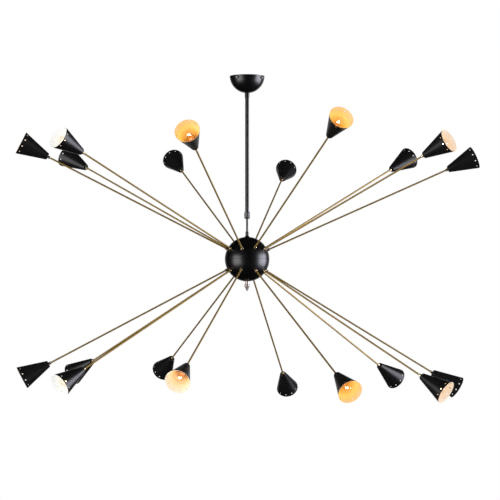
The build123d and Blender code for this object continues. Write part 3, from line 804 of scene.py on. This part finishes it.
hot_wire, nodes, links, shader = new_finish("hot_wire")
place = nodes.new("ShaderNodeTexCoord").outputs["Object"]
heat = place_group(nodes, links, tone, place, scale=300.0, light=(1.0, 0.86, 0.62, 1),
                   dark=(1.0, 0.74, 0.42, 1), smooth=0.4, rough=0.6)
links.new(heat.outputs["Color"], shader.inputs["Emission Color"])
links.new(heat.outputs["Color"], shader.inputs["Base Color"])
path = nodes.new("ShaderNodeLightPath")
bounces = reckon(nodes, links, "ADD", path.outputs["Diffuse Depth"], path.outputs["Glossy Depth"])
straight = reckon(nodes, links, "LESS_THAN", bounces, 0.5)
links.new(reckon(nodes, links, "MULTIPLY", straight, wire_brightness),
          shader.inputs["Emission Strength"])
for glowing in (hot_wire, enamel_bright, enamel_warm, enamel_pale, enamel_white, cap_nickel,
                moulded_black):
    glowing.cycles.emission_sampling = "NONE"

# %% Bulb shapes
cap_start = 0.034
ball_middle = 0.076
ball_radius = 0.0175
glass_wall = 0.0006
neck_radius = 0.0062
thread_pitch = 0.0028
thread_depth = 0.0005
cap_radius = 0.0068
support_wire = 0.00025
coil_wire = 0.0004


def glass_outline(shrink):
    """The bulb's profile from its neck to its tip, moved in by shrink."""
    radius = ball_radius - shrink
    points = [(neck_radius - shrink, holder_top - 0.008),
              (neck_radius - shrink, holder_top + 0.001),
              (neck_radius + 0.0012 - shrink, holder_top + 0.0045)]
    for angle in range(-48, 91, 6):
        swing = math.radians(angle)
        points.append((max(radius * math.cos(swing), 1e-5),
                       ball_middle + radius * math.sin(swing)))
    return points


def glass_mesh():
    """Outer face, then the inner face back again, so the wall is closed."""
    outline = glass_outline(0.0) + glass_outline(glass_wall)[::-1]
    bm = bmesh.new()
    turned(bm, [(r, h + shade_start) for r, h in outline], steps=48, closed=True)
    return finish_mesh("bulb_glass", bm, [bulb_glass], sharp=60)


def cap_mesh():
    """The threaded cap, whose thread climbs one pitch a turn, and its contact."""
    bm = bmesh.new()
    steps, rows = 48, 60
    uv = bm.loops.layers.uv.verify()
    low, high = shade_start + cap_start + 0.003, shade_start + holder_top - 0.003
    rings = []
    for row in range(rows + 1):
        height = low + (high - low) * row / rows
        ring = []
        for step in range(steps):
            angle = 2 * math.pi * step / steps
            wave = math.cos(2 * math.pi * (height - low) / thread_pitch - angle)
            radius = cap_radius - thread_depth * (0.5 - 0.5 * wave)
            ring.append(bm.verts.new((radius * math.cos(angle), radius * math.sin(angle), height)))
        rings.append(ring)
    for row in range(rows):
        for step in range(steps):
            after = (step + 1) % steps
            face = bm.faces.new([rings[row][step], rings[row][after],
                                 rings[row + 1][after], rings[row + 1][step]])
            for loop in face.loops:
                loop[uv].uv = (step / steps, row / rows)
    turned(bm, [(1e-5, shade_start + cap_start), (0.0024, shade_start + cap_start),
                (0.0030, shade_start + cap_start + 0.0008), (0.0058, low - 0.0006),
                (cap_radius - 0.0006, low)], steps=steps)
    turned(bm, [(cap_radius - 0.0006, high),
                (neck_radius + 0.0001, shade_start + holder_top - 0.0005)], steps=steps)
    return finish_mesh("bulb_cap", bm, [cap_nickel])


def wire_along(bm, points, radius, sides=8, slot=0):
    """A round wire through points, closed at both ends."""
    rings = []
    for index, point in enumerate(points):
        ahead = points[min(index + 1, len(points) - 1)] - points[max(index - 1, 0)]
        turn = ahead.to_track_quat("Z", "Y")
        angles = (2 * math.pi * k / sides for k in range(sides))
        rings.append([bm.verts.new(point + turn @ Vector((radius * math.cos(angle),
                                                          radius * math.sin(angle), 0)))
                      for angle in angles])
    for low, high in zip(rings, rings[1:]):
        for k in range(sides):
            after = (k + 1) % sides
            bm.faces.new([low[k], low[after], high[after], high[k]]).material_index = slot
    bm.faces.new(rings[0][::-1]).material_index = slot
    bm.faces.new(rings[-1]).material_index = slot


def filament_mesh():
    """A glass stem, two upright wires, and a coil that bows between their tips."""
    bm = bmesh.new()
    base = shade_start + holder_top + 0.002
    turned(bm, [(1e-5, base - 0.004), (0.0030, base - 0.004), (0.0022, base + 0.004),
                (0.0012, base + 0.010), (1e-5, base + 0.011)], steps=24,
           slot_at=[2] * 4)
    top = shade_start + ball_middle - 0.003
    half_span, peak, coil_radius = 0.0032, 0.008, 0.0011
    for side in (-1, 1):
        wire_along(bm, [Vector((side * 0.0008, 0, base + 0.006)),
                        Vector((side * 0.0030, 0, base + 0.014)),
                        Vector((side * half_span, 0, top))], support_wire, slot=1)
    turns, samples = 11, 16
    coil = []
    for k in range(turns * samples + 1):
        share = k / (turns * samples)
        swing = 2 * math.pi * turns * share
        coil.append(Vector((half_span * (2 * share - 1) + coil_radius * math.cos(swing),
                            coil_radius * math.sin(swing),
                            top + peak * math.sin(math.pi * share))))
    wire_along(bm, coil, coil_wire, sides=6, slot=0)
    return finish_mesh("filament", bm, [hot_wire, zinc_plate, bulb_glass], sharp=70)


# %% Put the bulbs in
glass_shape, cap_shape, filament_shape = glass_mesh(), cap_mesh(), filament_mesh()
for arm in arm_names:
    glass = stand_on_arm("glass_" + arm, glass_shape, arm, "bulbs")
    glass.visible_diffuse = False
    glass.visible_shadow = False
    stand_on_arm("cap_" + arm, cap_shape, arm, "bulbs")
    wire = stand_on_arm("filament_" + arm, filament_shape, arm, "bulbs")
    wire.visible_diffuse = False
print("faces in a bulb:", sum(len(m.polygons) for m in (glass_shape, cap_shape, filament_shape)))

# %% [markdown]
# ## Finishes on the CAD pieces
# The canopy, the stem, the ball, the arms and the small hardware have their final shape in the
# CAD model. They keep their meshes and only get their finishes.

# %% Finishes for the CAD nodes
finish_of = {
    "ceiling_bracket": zinc_plate, "canopy_dome": satin_black, "canopy_screws": dull_nickel,
    "canopy_lock_nut": zinc_plate, "terminal_block": white_nylon, "stem_cable": cable_skin,
    "stem_outer_tube": satin_black, "stem_lock_collar": collar_grey, "stem_collet": white_nylon,
    "stem_inner_tube": satin_black, "hub_coupling": satin_black, "hub_upper_shell": satin_black,
    "hub_lower_shell": satin_black, "hub_centre_rod": zinc_plate, "hub_lock_nuts": zinc_plate,
    "finial": rose_brass, "arm_ferrules": ferrule_brass, "wiring_harness": cable_skin,
}
finish_of.update({"arm_" + arm: antique_brass for arm in arm_names})
for node, finish in finish_of.items():
    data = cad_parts[node].data
    data.materials.clear()
    data.materials.append(finish)
print("CAD nodes finished:", len(finish_of))

# %% [markdown]
# ## Floor
# The floor lies a room's height under the ceiling, below the picture. It shows in views from
# above, where it catches a soft shadow. Reflections leave it out: the black paint would
# otherwise mirror a white sheet from below, and turn grey. The light that suits the lamps is
# too dim for white paper, so the floor adds some brightness where the camera sees it.

# %% Floor
floor_half = 9.0
floor_height = -2.6
floor_lift = 0.36

floor_paint, nodes, links, shader = new_finish("floor_paint")
place = nodes.new("ShaderNodeTexCoord").outputs["Object"]
mottle = place_group(nodes, links, tone, place, scale=1.5, light=(0.93, 0.93, 0.93, 1),
                     dark=(0.90, 0.90, 0.90, 1), smooth=0.7, rough=0.8)
links.new(mottle.outputs["Color"], shader.inputs["Base Color"])
links.new(mottle.outputs["Roughness"], shader.inputs["Roughness"])
links.new(mottle.outputs["Color"], shader.inputs["Emission Color"])
path = nodes.new("ShaderNodeLightPath")
seen = reckon(nodes, links, "ADD", path.outputs["Is Camera Ray"],
              path.outputs["Is Transmission Ray"])
links.new(reckon(nodes, links, "MULTIPLY", seen, floor_lift), shader.inputs["Emission Strength"])
floor_paint.cycles.emission_sampling = "NONE"
bm = bmesh.new()
bmesh.ops.create_grid(bm, x_segments=8, y_segments=8, size=floor_half)
floor = bpy.data.objects.new("floor", finish_mesh("floor", bm, [floor_paint]))
floor.location = (0, 0, floor_height)
bpy.context.scene.collection.objects.link(floor)
floor.visible_glossy = False
